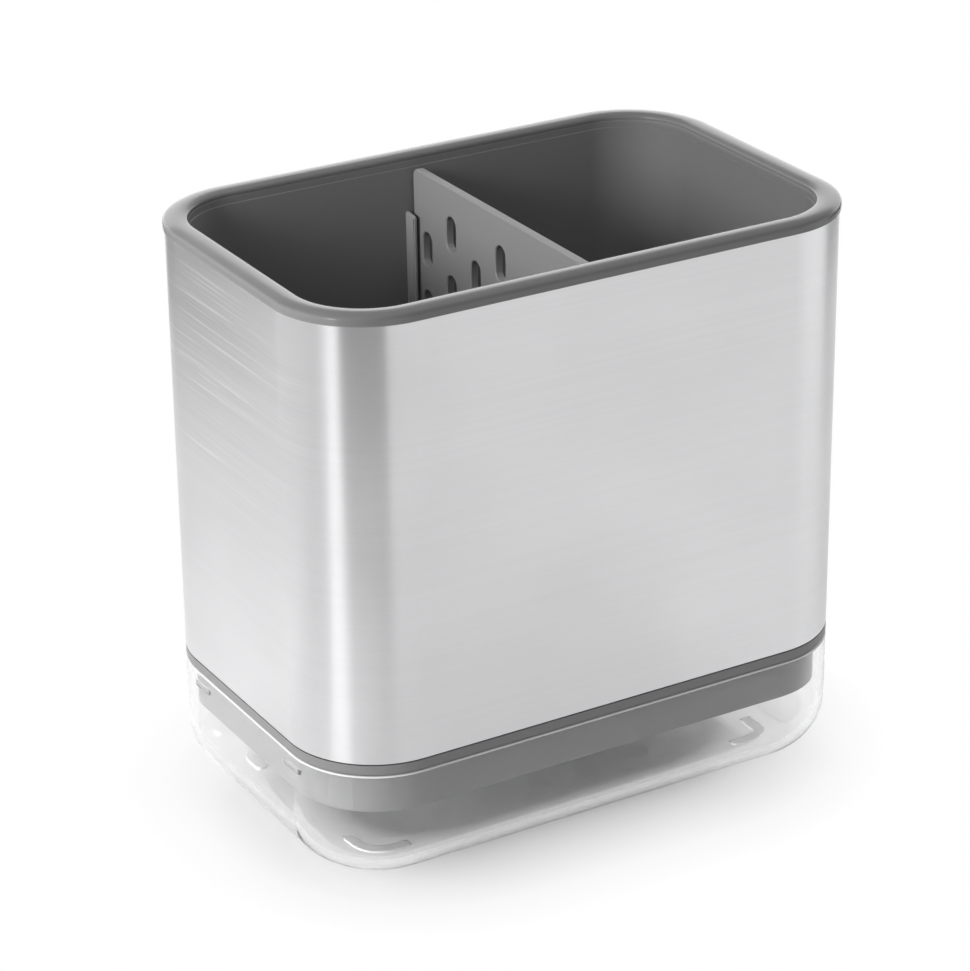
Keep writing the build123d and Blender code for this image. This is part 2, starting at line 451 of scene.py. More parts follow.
@dataclass(frozen=True)
class Finish:
    """A material with a Principled shader that reads Object coordinates."""

    name: str
    colour: Colour
    roughness: float

    def start(self) -> tuple[Material, Graph, bpy.types.Node, Socket]:
        """Make the material and its shader.

        Returns:
            The material, its graph, its Principled node and the Object coordinates.
        """
        material = bpy.data.materials.new(self.name)
        material.use_nodes = True
        graph = Graph(material.node_tree)
        shader = material.node_tree.nodes["Principled BSDF"]
        shader.inputs["Base Color"].default_value = (*self.colour, 1.0)
        shader.inputs["Roughness"].default_value = self.roughness
        place = graph.node("ShaderNodeTexCoord").outputs["Object"]
        return material, graph, shader, place

    def effect(self, graph: Graph, tree: NodeTree, **values: object) -> Mapping[str, Socket]:
        """Place an effect group and set its inputs.

        Args:
            graph: The material's graph.
            tree: The effect's group.
            **values: A value or a socket for each input, by its name with underscores for spaces.

        Returns:
            The effect's outputs by name.
        """
        node = graph.node("ShaderNodeGroup", node_tree=tree)
        for name, value in values.items():
            graph.feed(node.inputs[name.replace("_", " ").title()], value)
        return node.outputs

    def roughen(self, graph: Graph, shader: bpy.types.Node, mask: Socket, low: float, high: float) -> None:
        """Spread the roughness from a low to a high value with a mask from 0 to 1."""
        graph.feed(shader.inputs["Roughness"], graph.ranged(mask, (0.0, 1.0), (low, high)))

    def emboss(
        self, graph: Graph, shader: bpy.types.Node, height: Socket, strength: float, depth: float
    ) -> None:
        """Bend the shader's normal with a height from 0 to 1, which is a depth in metres."""
        inputs = {"Height": height, "Strength": strength, "Distance": depth}
        graph.feed(shader.inputs["Normal"], graph.out("ShaderNodeBump", inputs))

    def tint(
        self,
        graph: Graph,
        mask: object,
        share: float,
        strength: float,
        under: Socket | None = None,
    ) -> Socket:
        """Mix a colour towards a paler or darker form of the finish's colour where a mask is high.

        Args:
            graph: The material's graph.
            mask: The mask, from 0 to 1.
            share: How much of the other colour a full mask brings.
            strength: What the finish's colour is multiplied by to give the other colour.
            under: The colour that is mixed from, if it isn't the finish's own.

        Returns:
            The mixed colour's socket.
        """
        mix = graph.node("ShaderNodeMix", {0: graph.times(mask, share)}, data_type="RGBA")
        towards = tuple(min(1.0, channel * strength) for channel in self.colour)
        for number, colour in zip(MIX_COLOURS, (under or (*self.colour, 1.0), (*towards, 1.0))):
            graph.feed(mix.inputs[number], colour)
        return mix.outputs[MIX_RESULT]


@dataclass(frozen=True)
class BrushedSteel(Finish):
    """Stainless sheet brushed level, so that reflections smear upright."""

    lines: float = 3200.0
    stretch: float = 400.0
    worn_place: Point3 = (-82.5 * MM, 8.0 * MM, 138.0 * MM)
    worn_reach: float = 52.0 * MM
    streak_depth: float = 0.003 * MM
    streak_strength: float = 0.25
    anisotropy: float = 0.8
    quarter_turn: float = 0.25
    tone_share: float = 0.07
    tone_strength: float = 0.6
    worn_share: float = 0.22
    scratch_share: float = 0.8
    scratch_strength: float = 1.3
    cloud_share: float = 0.2
    cloud_strength: float = 1.12
    smudge_size: float = 26.0
    smudge_rough: float = 0.04

    def material(self) -> Material:
        """Build the steel's material.

        Returns:
            The material.
        """
        material, graph, shader, place = self.start()
        streaks = self.effect(
            graph,
            brushed_streaks(),
            vector=place,
            lines=self.lines,
            stretch=self.stretch,
            worn_place=self.worn_place,
            worn_reach=self.worn_reach,
        )
        smudge = self.effect(graph, handling_marks(), vector=place, size=self.smudge_size)["Smudge"]
        deep = graph.times(streaks["Worn"], self.worn_share)
        share = graph.times(streaks["Tone"], graph.plus(deep, self.tone_share))
        brushed = self.tint(graph, share, 1.0, self.tone_strength)
        clouded = self.tint(graph, streaks["Cloud"], self.cloud_share, self.cloud_strength, brushed)
        scored = self.tint(graph, streaks["Scratch"], self.scratch_share, self.scratch_strength, clouded)
        graph.feed(shader.inputs["Base Color"], scored)
        self.roughen(graph, shader, smudge, self.roughness, self.roughness + self.smudge_rough)
        self.emboss(graph, shader, streaks["Height"], self.streak_strength, self.streak_depth)
        shader.inputs["Metallic"].default_value = 1.0
        shader.inputs["Anisotropic"].default_value = self.anisotropy
        shader.inputs["Anisotropic Rotation"].default_value = self.quarter_turn
        tangent = graph.out("ShaderNodeTangent", direction_type="RADIAL", axis="Z")
        graph.feed(shader.inputs["Tangent"], tangent)
        return material


@dataclass(frozen=True)
class MouldedPlastic(Finish):
    """Opaque moulded plastic with a fine grain."""

    grains: float = 2600.0
    grain_depth: float = 0.012 * MM
    grain_strength: float = 0.4
    mottle: float = 0.25
    mottle_strength: float = 1.18
    dust_share: float = 0.08
    smudge_size: float = 55.0
    smudge_share: float = 0.4
    rough_spread: float = 0.05

    def material(self) -> Material:
        """Build the plastic's material.

        Returns:
            The material.
        """
        material, graph, shader, place = self.start()
        grain = self.effect(graph, moulded_grain(), vector=place, grains=self.grains)
        marks = self.effect(graph, handling_marks(), vector=place, size=self.smudge_size)
        dust = graph.times(marks["Dust"], self.dust_share)
        share = graph.plus(graph.times(grain["Mottle"], self.mottle), dust)
        graph.feed(shader.inputs["Base Color"], self.tint(graph, share, 1.0, self.mottle_strength))
        worn = graph.plus(grain["Mottle"], graph.times(marks["Smudge"], self.smudge_share))
        low, high = self.roughness - self.rough_spread, self.roughness + self.rough_spread
        self.roughen(graph, shader, worn, low, high)
        self.emboss(graph, shader, grain["Height"], self.grain_strength, self.grain_depth)
        return material


@dataclass(frozen=True)
class ClearPlastic(Finish):
    """Polished clear plastic that lets the lamps through, with a grey diffuse band on its lip above a
    level: a painted highlight for the bright line that light piped through the wall shows at the lip.
    """

    ior: float = 1.49
    lamp_share: float = 0.93
    # The level and grey of the painted lip highlight, a diffuse band in place of light piped to the lip's
    # edge
    painted_lip_line_from: float = 34.65 * MM
    painted_lip_line_to: float = 34.85 * MM
    painted_lip_line_tone: float = 0.45
    smudge_size: float = 30.0
    smudge_rough: float = 0.03

    def material(self) -> Material:
        """Build the clear plastic's material.

        Returns:
            The material.
        """
        material, graph, shader, place = self.start()
        smudge = self.effect(graph, handling_marks(), vector=place, size=self.smudge_size)["Smudge"]
        self.roughen(graph, shader, smudge, self.roughness, self.roughness + self.smudge_rough)
        shader.inputs["IOR"].default_value = self.ior
        shader.inputs["Transmission Weight"].default_value = 1.0
        # Painted highlight: above this level the lip turns to a grey diffuse band, which stands in for
        # light piped through the wall to the lip
        lip = graph.ranged(graph.split(place)[2], (self.painted_lip_line_from, self.painted_lip_line_to), (0.0, 1.0))
        painted_lip_line = graph.out("ShaderNodeBsdfDiffuse", {"Color": (self.painted_lip_line_tone,) * 3 + (1.0,)})
        surface = graph.mixed(lip, shader.outputs[0], painted_lip_line)
        passed = graph.out("ShaderNodeBsdfTransparent", {"Color": (self.lamp_share,) * 3 + (1.0,)})
        shadow_ray = graph.node("ShaderNodeLightPath").outputs["Is Shadow Ray"]
        output = material.node_tree.nodes["Material Output"]
        graph.feed(output.inputs["Surface"], graph.mixed(shadow_ray, surface, passed))
        return material


@dataclass(frozen=True)
class PadRubber(Finish):
    """Soft pale rubber of the corner pads, which hardly shows through the tray."""

    grains: float = 1800.0
    grain_depth: float = 0.004 * MM
    grain_strength: float = 0.3
    mottle: float = 0.4
    mottle_strength: float = 1.15
    glow_share: float = 0.3
    glow_reach: float = 2.0 * MM

    def material(self) -> Material:
        """Build the rubber's material.

        Returns:
            The material.
        """
        material, graph, shader, place = self.start()
        grain = self.effect(graph, moulded_grain(), vector=place, grains=self.grains)
        self.emboss(graph, shader, grain["Height"], self.grain_strength, self.grain_depth)
        mottled = self.tint(graph, grain["Mottle"], self.mottle, self.mottle_strength)
        graph.feed(shader.inputs["Base Color"], mottled)
        shader.inputs["Subsurface Weight"].default_value = self.glow_share
        shader.inputs["Subsurface Radius"].default_value = (self.glow_reach,) * 3
        return material


# Shapes that the node trees make


@dataclass(frozen=True)
class Outline:
    """A rounded rectangle that walls follow, in metres."""

    length: float
    depth: float
    radius: float
    steps: int = 24
    margin: float = 0.4 * MM


@dataclass(frozen=True)
class Corner:
    """One corner of a wall's section: inset from the outline, height, and rounding."""

    inset: float
    height: float
    radius: float = 0.0


def rounded_section(corners: Sequence[Corner], closed: bool, steps: int = 6) -> list[Point2]:
    """Round a section's corners, with one extra point beside each arc to keep flats flat.

    Args:
        corners: The section's corners in order.
        closed: Whether the last corner joins the first.
        steps: How many spans each arc has.

    Returns:
        The section's points as inset and height.
    """
    points: list[Point2] = []
    count = len(corners)
    for number, corner in enumerate(corners):
        here = Vector((corner.inset, corner.height))
        at_end = not closed and number in (0, count - 1)
        if corner.radius == 0.0 or at_end:
            points.append(tuple(here))
            continue
        before = corners[number - 1]
        after = corners[(number + 1) % count]
        back = (Vector((before.inset, before.height)) - here).normalized()
        ahead = (Vector((after.inset, after.height)) - here).normalized()
        half = back.angle(ahead) / 2
        reach = corner.radius / math.tan(half)
        centre = here + (back + ahead).normalized() * (corner.radius / math.sin(half))
        start = here + back * reach
        margin = min(FLAT_MARGIN, corner.radius * FLAT_MARGIN_SHARE)
        points.append(tuple(start + back * margin))
        turn = math.pi - 2 * half
        sweep = turn if back.x * ahead.y - back.y * ahead.x < 0 else -turn
        for step in range(steps + 1):
            spoke = Matrix.Rotation(sweep * step / steps, 2) @ (start - centre)
            points.append(tuple(centre + spoke))
        points.append(tuple(here + ahead * (reach + margin)))
    return points


OUTLINE_INPUTS: Inputs = {
    "Length": 0.1,
    "Depth": 0.1,
    "Corner Radius": 0.02,
    "Arc Steps": 24,
    "Margin": 0.0004,
}
HOLE_INPUTS: Inputs = {
    "Hole Width": 0.005,
    "Hole Length": 0.01,
    "Wall": 0.002,
    "Flare": 0.0003,
    "Sides": 16,
}
LAYOUT_INPUTS: Inputs = {
    "Lines": 7,
    "Per Line": 9,
    "Line Pitch": 0.01,
    "Place Pitch": 0.01,
    "First Short": 0,
}
BUMP_INPUTS: Inputs = {
    "Wall Distance": 0.08,
    "Spread": 0.026,
    "Height": 0.03,
    "Bump Size": Kind.VECTOR,
    "Taper": 0.5,
}
POCKET_INPUTS: Inputs = {
    "Length": 0.13,
    "Depth": 0.07,
    "Corner Radius": 0.007,
    "Pocket Width": 0.003,
    "Pocket Height": 0.002,
    "Centre Height": 0.0,
    "Leg": 0.005,
}


@cache
def rounded_outline() -> NodeTree:
    """Build the group that draws a rounded rectangle from its sizes, by each point's number.

    Returns:
        The group's tree.
    """
    group = Group.new("Rounded Outline", OUTLINE_INPUTS, {"Curve": Kind.SHAPE})
    graph = group.graph
    radius = group.input("Corner Radius")
    steps = group.input("Arc Steps")
    per_corner = graph.plus(steps, 3.0)
    index = graph.out("GeometryNodeInputIndex")
    corner = graph.math("FLOOR", graph.math("DIVIDE", index, per_corner))
    place = graph.minus(graph.minus(index, graph.times(corner, per_corner)), 1.0)
    on_arc = graph.between(place, 0.0, steps)
    beyond = graph.times(graph.minus(place, on_arc), group.input("Margin"))
    quarter = math.pi / 2
    angle = graph.times(graph.plus(corner, graph.math("DIVIDE", on_arc, steps)), quarter)
    middle = graph.times(graph.plus(corner, 0.5), quarter)
    cosine = graph.math("COSINE", angle)
    sine = graph.math("SINE", angle)
    axes = []
    for size, facing, along, across in (
        ("Length", "COSINE", cosine, graph.times(sine, -1.0)),
        ("Depth", "SINE", sine, cosine),
    ):
        side = graph.math("SIGN", graph.math(facing, middle))
        half = graph.minus(graph.times(group.input(size), 0.5), radius)
        arc = graph.plus(graph.times(side, half), graph.times(along, radius))
        axes.append(graph.plus(arc, graph.times(across, beyond)))
    circle = graph.out("GeometryNodeCurvePrimitiveCircle", {"Resolution": graph.times(per_corner, 4.0)})
    group.give("Curve", graph.out("GeometryNodeSetPosition", {0: circle, 2: graph.xyz(*axes)}))
    return group.tree


@cache
def swept_wall() -> NodeTree:
    """Build the tree that sweeps the object's own section round a rounded outline.

    Returns:
        The group's tree.
    """
    inputs = {"Section": Kind.SHAPE, **OUTLINE_INPUTS, "Finish": Kind.FINISH}
    group = Group.new("Swept Wall", inputs, {"Wall": Kind.SHAPE})
    graph = group.graph
    path = group.use(rounded_outline())
    section = graph.out("GeometryNodeMeshToCurve", {0: group.input("Section")})
    wall = graph.out("GeometryNodeCurveToMesh", {"Curve": path, "Profile Curve": section})
    merged = graph.out("GeometryNodeMergeByDistance", {0: wall, "Distance": MERGE_DISTANCE})
    group.give_finished("Wall", graph.out("GeometryNodeSetShadeSmooth", {0: merged}))
    return group.tree


@cache
def flared_cutter() -> NodeTree:
    """Build the group that makes one cutter: a long hole that flares where it leaves the wall.

    Returns:
        The group's tree.
    """
    group = Group.new("Flared Cutter", HOLE_INPUTS, {"Cutter": Kind.SHAPE})
    graph = group.graph
    drum = graph.node(
        "GeometryNodeMeshCylinder",
        {"Vertices": group.input("Sides"), "Side Segments": 3, "Radius": 1.0, "Depth": 1.0},
    )
    x, y, z = graph.split(graph.out("GeometryNodeInputPosition"))
    flare = group.input("Flare")
    outside = graph.math("GREATER_THAN", graph.math("ABSOLUTE", z), FLARE_FROM)
    half_wall = graph.times(group.input("Wall"), 0.5)
    height = graph.plus(half_wall, graph.either_way(outside, flare))
    half_width = graph.times(group.input("Hole Width"), 0.5)
    wide = graph.plus(half_width, graph.times(graph.times(outside, flare), 2.0))
    side = graph.between(graph.times(x, PARTING), -1.0, 1.0)
    spare = graph.minus(group.input("Hole Length"), group.input("Hole Width"))
    long_x = graph.plus(graph.times(x, wide), graph.times(side, graph.times(spare, 0.5)))
    moved = graph.xyz(long_x, graph.times(y, wide), graph.times(graph.math("SIGN", z), height))
    group.give("Cutter", graph.out("GeometryNodeSetPosition", {0: drum.outputs["Mesh"], 2: moved}))
    return group.tree


@cache
def staggered_places() -> NodeTree:
    """Build the group that lays out points in lines, with one place fewer in every other line.

    Returns:
        The group's tree.
    """
    group = Group.new("Staggered Places", LAYOUT_INPUTS, {"Points": Kind.SHAPE})
    graph = group.graph
    per_line = group.input("Per Line")
    index = graph.out("GeometryNodeInputIndex")
    line = graph.math("FLOOR", graph.math("DIVIDE", graph.plus(index, 0.5), per_line))
    place = graph.minus(index, graph.times(line, per_line))
    short = graph.math("MODULO", graph.plus(line, group.input("First Short")), 2.0)
    last = graph.minus(graph.minus(per_line, short), 1.0)
    along = graph.times(graph.minus(place, graph.times(last, 0.5)), group.input("Place Pitch"))
    middle_line = graph.times(graph.minus(group.input("Lines"), 1.0), 0.5)
    across = graph.times(graph.minus(line, middle_line), group.input("Line Pitch"))
    count = graph.times(group.input("Lines"), per_line)
    points = graph.out("GeometryNodePoints", {"Count": count, "Position": graph.xyz(along, across)})
    spare = graph.math("GREATER_THAN", place, graph.plus(last, 0.5))
    group.give("Points", graph.out("GeometryNodeDeleteGeometry", {0: points, 1: spare}))
    return group.tree


@cache
def perforated_wall() -> NodeTree:
    """Build the tree that cuts staggered, flared holes through the object's own shape.

    Returns:
        The group's tree.
    """
    group = Group.new(
        "Perforated Wall",
        {
            "Shape": Kind.SHAPE,
            **HOLE_INPUTS,
            **LAYOUT_INPUTS,
            "Centre Height": 0.0,
            "Tip": 0.0,
            "Finish": Kind.FINISH,
        },
        {"Perforated": Kind.SHAPE},
    )
    graph = group.graph
    cutter = group.use(flared_cutter())
    places = group.use(staggered_places())
    spread = graph.out("GeometryNodeInstanceOnPoints", {0: places, "Instance": cutter})
    turned = graph.out(
        "GeometryNodeTransform",
        {
            0: spread,
            "Translation": graph.xyz(z=group.input("Centre Height")),
            "Rotation": graph.xyz(y=group.input("Tip")),
        },
    )
    cutters = graph.out("GeometryNodeRealizeInstances", {0: turned})
    cut = graph.boolean("DIFFERENCE", group.input("Shape"), cutters)
    group.give_finished("Perforated", graph.out("GeometryNodeSetShadeSmooth", {0: cut}))
    return group.tree


@cache
def mirrored_ribs() -> NodeTree:
    """Build the tree that repeats the object's own rib on both sides of the divider and both walls.

    Returns:
        The group's tree.
    """
    group = Group.new(
        "Mirrored Ribs",
        {
            "Rib": Kind.SHAPE,
            "Side Offset": 0.0037,
            "Wall Distance": 0.047,
            "Finish": Kind.FINISH,
        },
        {"Ribs": Kind.SHAPE},
    )
    graph = group.graph
    wall, side = graph.count_four()
    x = graph.either_way(side, group.input("Side Offset"))
    y = graph.either_way(wall, group.input("Wall Distance"))
    turn = graph.xyz(z=graph.times(wall, math.pi))
    group.give_finished("Ribs", graph.four_copies(group.input("Rib"), graph.xyz(x, y), turn))
    return group.tree


@cache
def detent_bumps() -> NodeTree:
    """Build the group that sets tapered bumps on both end walls, two to a wall.

    Returns:
        The group's tree.
    """
    group = Group.new("Detent Bumps", BUMP_INPUTS, {"Bumps": Kind.SHAPE})
    graph = group.graph
    block = graph.node("GeometryNodeMeshCube", {"Size": group.input("Bump Size")}).outputs["Mesh"]
    x, y, z = graph.split(graph.out("GeometryNodeInputPosition"))
    inward = graph.math("LESS_THAN", x, 0.0)
    narrowing = graph.minus(1.0, graph.times(inward, group.input("Taper")))
    narrowed = graph.xyz(x, y, graph.times(z, narrowing))
    tapered = graph.out("GeometryNodeSetPosition", {0: block, 2: narrowed})
    end, along = graph.count_four()
    place_x = graph.either_way(end, group.input("Wall Distance"))
    place_y = graph.either_way(along, group.input("Spread"))
    turn = graph.xyz(z=graph.times(graph.minus(1.0, end), math.pi))
    spot = graph.xyz(place_x, place_y, group.input("Height"))
    group.give("Bumps", graph.four_copies(tapered, spot, turn))
    return group.tree


@cache
def pad_pockets() -> NodeTree:
    """Build the group that makes four corner cutters: the parts of a swept ring inside corner windows.

    Returns:
        The group's tree.
    """
    group = Group.new("Pad Pockets", POCKET_INPUTS, {"Cutters": Kind.SHAPE})
    graph = group.graph
    path = group.use(rounded_outline(), {"Arc Steps": POCKET_ARC_STEPS})
    profile = graph.out(
        "GeometryNodeCurvePrimitiveQuadrilateral",
        {0: group.input("Pocket Width"), 1: group.input("Pocket Height")},
    )
    ring = graph.out("GeometryNodeCurveToMesh", {"Curve": path, "Profile Curve": profile})
    lift = graph.xyz(z=group.input("Centre Height"))
    raised = graph.out("GeometryNodeTransform", {0: ring, "Translation": lift})
    window = graph.times(graph.plus(group.input("Corner Radius"), group.input("Leg")), 2.0)
    window_size = graph.xyz(window, window, POCKET_WINDOW_HEIGHT)
    box = graph.node("GeometryNodeMeshCube", {"Size": window_size}).outputs["Mesh"]
    row, column = graph.count_four()
    reach = [
        graph.either_way(share, graph.times(group.input(size), 0.5))
        for share, size in ((column, "Length"), (row, "Depth"))
    ]
    windows = graph.four_copies(box, graph.xyz(*reach))
    group.give("Cutters", graph.boolean("INTERSECT", raised, windows))
    return group.tree


@cache
def fitted_tray() -> NodeTree:
    """Build the tree that adds the bumps to the object's own tray and cuts the pads' pockets in it.

    Returns:
        The group's tree.
    """
    inputs = {"Tray": Kind.SHAPE, **BUMP_INPUTS, **POCKET_INPUTS, "Finish": Kind.FINISH}
    group = Group.new("Fitted Tray", inputs, {"Fitted": Kind.SHAPE})
    graph = group.graph
    bumps = group.use(detent_bumps())
    pockets = group.use(pad_pockets())
    joined = graph.boolean("UNION", bumps, group.input("Tray"))
    cut = graph.boolean("DIFFERENCE", joined, pockets)
    group.give_finished("Fitted", graph.out("GeometryNodeSetShadeSmooth", {0: cut}))
    return group.tree


def add_object(name: str, data: bpy.types.ID) -> Piece:
    """Put a new object in the scene.

    Args:
        name: The object's name.
        data: Its mesh, lamp or camera.

    Returns:
        The object.
    """
    made = bpy.data.objects.new(name, data)
    bpy.context.scene.collection.objects.link(made)
    return made


def take_mesh(piece: Piece) -> Mesh:
    """Remove an object and keep its mesh.

    Args:
        piece: The object.

    Returns:
        Its mesh.
    """
    mesh = piece.data
    bpy.data.objects.remove(piece)
    return mesh


def tidy_mesh(mesh: Mesh, sharp_degrees: float = 35.0) -> None:
    """Close open ends with flat faces, turn every face outwards and mark the hard edges.

    Args:
        mesh: The mesh to tidy.
        sharp_degrees: The least angle that stays a hard edge.
    """
    form = bmesh.new()
    form.from_mesh(mesh)
    open_edges = [edge for edge in form.edges if edge.is_boundary]
    if open_edges:
        bmesh.ops.holes_fill(form, edges=open_edges)
    bmesh.ops.recalc_face_normals(form, faces=form.faces)
    for face in form.faces:
        face.smooth = True
    form.to_mesh(mesh)
    form.free()
    mesh.set_sharp_from_angle(angle=math.radians(sharp_degrees))


def grow(name: str, start: Mesh, tree: NodeTree, values: Mapping[str, object]) -> Piece:
    """Run a shape tree on a mesh and keep the result as a plain, closed mesh.

    Args:
        name: The new object's name.
        start: The mesh that the tree starts from.
        tree: The shape tree.
        values: The tree's inputs by name.

    Returns:
        The object, with its plain mesh and no modifier.
    """
    piece = add_object(name, start)
    modifier = piece.modifiers.new("shape", "NODES")
    modifier.node_group = tree
    for item in tree.interface.items_tree:
        if item.item_type == "SOCKET" and item.in_out == "INPUT" and item.name in values:
            modifier[item.identifier] = values[item.name]
    graph = bpy.context.evaluated_depsgraph_get()
    mesh = bpy.data.meshes.new_from_object(piece.evaluated_get(graph), depsgraph=graph)
    piece.modifiers.clear()
    piece.data = mesh
    mesh.name = name
    tidy_mesh(mesh)
    return piece


def sweep(
    name: str, outline: Outline, section: Sequence[Point2], finish: Material, closed: bool = True
) -> Piece:
    """Sweep a section round an outline.

    Args:
        name: The new object's name.
        outline: The outline that the section follows.
        section: The section's points as inset and height.
        finish: The material.
        closed: Whether the section is a closed ring.

    Returns:
        The swept wall.
    """
    count = len(section)
    edges = [(number, number + 1) for number in range(count - 1)]
    if closed:
        edges.append((count - 1, 0))
    start = bpy.data.meshes.new(f"{name}_section")
    start.from_pydata([(-inset, -height, 0.0) for inset, height in section], edges, [])
    values = {
        "Length": outline.length,
        "Depth": outline.depth,
        "Corner Radius": outline.radius,
        "Arc Steps": outline.steps,
        "Margin": outline.margin,
        "Finish": finish,
    }
    return grow(name, start, swept_wall(), values)


def set_piece(piece: Piece, body: Body, slot: Slot, *nodes: str) -> None:
    """Set a piece on its body and hide the CAD nodes that it stands for.

    Args:
        piece: The piece.
        body: The body that it rides on.
        slot: Its material slot; not used.
        *nodes: The names of the CAD nodes that it replaces.
    """
    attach(piece, body.value)
    if nodes:
        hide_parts(*nodes)
    log.info("%s rides on %s with %d faces", piece.name, body.value, len(piece.data.polygons))


def dress_node(node: str, finish: Material) -> None:
    """Give a CAD node that keeps its shape its finish.

    Args:
        node: The node's name.
        finish: The material.
    """
    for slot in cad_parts[node].material_slots:
        slot.material = finish
    log.info("%s keeps its shape and wears %s", node, finish.name)


# Sub-assemblies


@dataclass
class Tub:
    """The liner: a drafted tub with a perforated floor and four guide ribs, which wear a paler copy of the
    liner's plastic as painted light from the left.
    """

    outline: Outline
    finish: MouldedPlastic
    # Painted light: the ribs' paler copy of the liner's plastic stands in for the light from the left on
    # their sides
    painted_lit_rib_finish: MouldedPlastic
    top: float = 161.4 * MM
    bottom: float = 25.3 * MM
    floor: float = 2.0 * MM
    floor_reach: float = 20.0 * MM
    outer_inset: float = 4.2 * MM
    wall: float = 2.3 * MM
    draft_degrees: float = 0.5
    mouth_step: float = 0.3 * MM
    mouth_depth: float = 2.0 * MM
    mouth_radius: float = 0.1 * MM
    floor_radius: float = 5.0 * MM
    corner_radius: float = 2.0 * MM
    edge_radius: float = 0.25 * MM
    arc_steps: int = 8
    drain_width: float = 8.0 * MM
    drain_flare: float = 0.35 * MM
    drain_sides: int = 32
    drain_lines: int = 7
    drains_per_line: int = 9
    line_share: float = 0.0897
    place_share: float = 0.097
    rib_width: float = 1.7 * MM
    rib_height: float = 119.7 * MM
    rib_proud: float = 4.3 * MM
    rib_root: float = 0.6 * MM
    rib_edge: float = 0.35 * MM
    rib_edge_steps: int = 4
    rib_end_steps: int = 6
    rib_margin: float = 0.1 * MM
    rib_gap: float = 1.7 * MM

    def drafted(self, inset: float, height: float) -> float:
        """Return a wall's inset at a height, from its inset at the top."""
        return inset + (self.top - height) * math.tan(math.radians(self.draft_degrees))

    def shell(self, finish: Material) -> Mesh:
        """Sweep the tub's wall and close its floor.

        Args:
            finish: The liner's material.

        Returns:
            The closed tub's mesh, not yet perforated.
        """
        inner = self.outer_inset + self.wall
        floor_top = self.bottom + self.floor
        mouth_low = self.top - self.mouth_depth
        corners = [
            Corner(self.floor_reach, self.bottom),
            Corner(self.drafted(self.outer_inset, self.bottom), self.bottom, self.corner_radius),
            Corner(self.outer_inset, self.top, self.edge_radius),
            Corner(inner - self.mouth_step, self.top, self.edge_radius),
            Corner(inner - self.mouth_step, mouth_low, self.mouth_radius),
            Corner(self.drafted(inner, mouth_low), mouth_low, self.mouth_radius),
            Corner(self.drafted(inner, floor_top), floor_top, self.floor_radius),
            Corner(self.floor_reach, floor_top),
        ]
        section = rounded_section(corners, closed=False, steps=self.arc_steps)
        return take_mesh(sweep("liner_tub", self.outline, section, finish, closed=False))

    def perforate(self, shell: Mesh, finish: Material) -> Piece:
        """Cut the drain holes through the tub's floor.

        Args:
            shell: The closed tub's mesh.
            finish: The liner's material.

        Returns:
            The perforated tub.
        """
        values = {
            "Hole Width": self.drain_width,
            "Hole Length": self.drain_width,
            "Wall": self.floor,
            "Flare": self.drain_flare,
            "Sides": self.drain_sides,
            "Lines": self.drain_lines,
            "Per Line": self.drains_per_line,
            "Line Pitch": self.outline.depth * self.line_share,
            "Place Pitch": self.outline.length * self.place_share,
            "First Short": 0,
            "Centre Height": self.bottom + self.floor / 2,
            "Tip": 0.0,
            "Finish": finish,
        }
        return grow("liner_tub", shell, perforated_wall(), values)

    def ribs(self, finish: Material) -> Piece:
        """Make the four guide ribs.

        Args:
            finish: The ribs' material.

        Returns:
            The ribs as one object.
        """
        half = self.rib_width / 2
        plan = Outline(
            self.rib_height + half, self.rib_width, half, self.rib_end_steps, self.rib_margin
        )
        corners = [
            Corner(half, self.rib_root),
            Corner(0.0, self.rib_root),
            Corner(0.0, -self.rib_proud, self.rib_edge),
            Corner(half, -self.rib_proud),
        ]
        section = rounded_section(corners, closed=False, steps=self.rib_edge_steps)
        rib = take_mesh(sweep("guide_rib", plan, section, finish, closed=False))
        middle = self.bottom + self.floor + self.rib_height / 2 - half / 2
        upright = Matrix.Rotation(math.pi / 2, 4, "Y")
        face_on = Matrix.Rotation(-math.pi / 2, 4, "Z")
        rib.transform(Matrix.Translation((0.0, 0.0, middle)) @ face_on @ upright)
        values = {
            "Side Offset": self.rib_gap + half,
            "Wall Distance": self.outline.depth / 2 - self.outer_inset - self.wall,
            "Finish": finish,
        }
        return grow("liner_ribs", rib, mirrored_ribs(), values)

    def build(self) -> None:
        """Build the tub and its ribs, and set them on the caddy."""
        finish = self.finish.material()
        set_piece(self.perforate(self.shell(finish), finish), Body.CADDY, Slot.LINER, "liner")
        set_piece(self.ribs(self.painted_lit_rib_finish.material()), Body.CADDY, Slot.LINER)


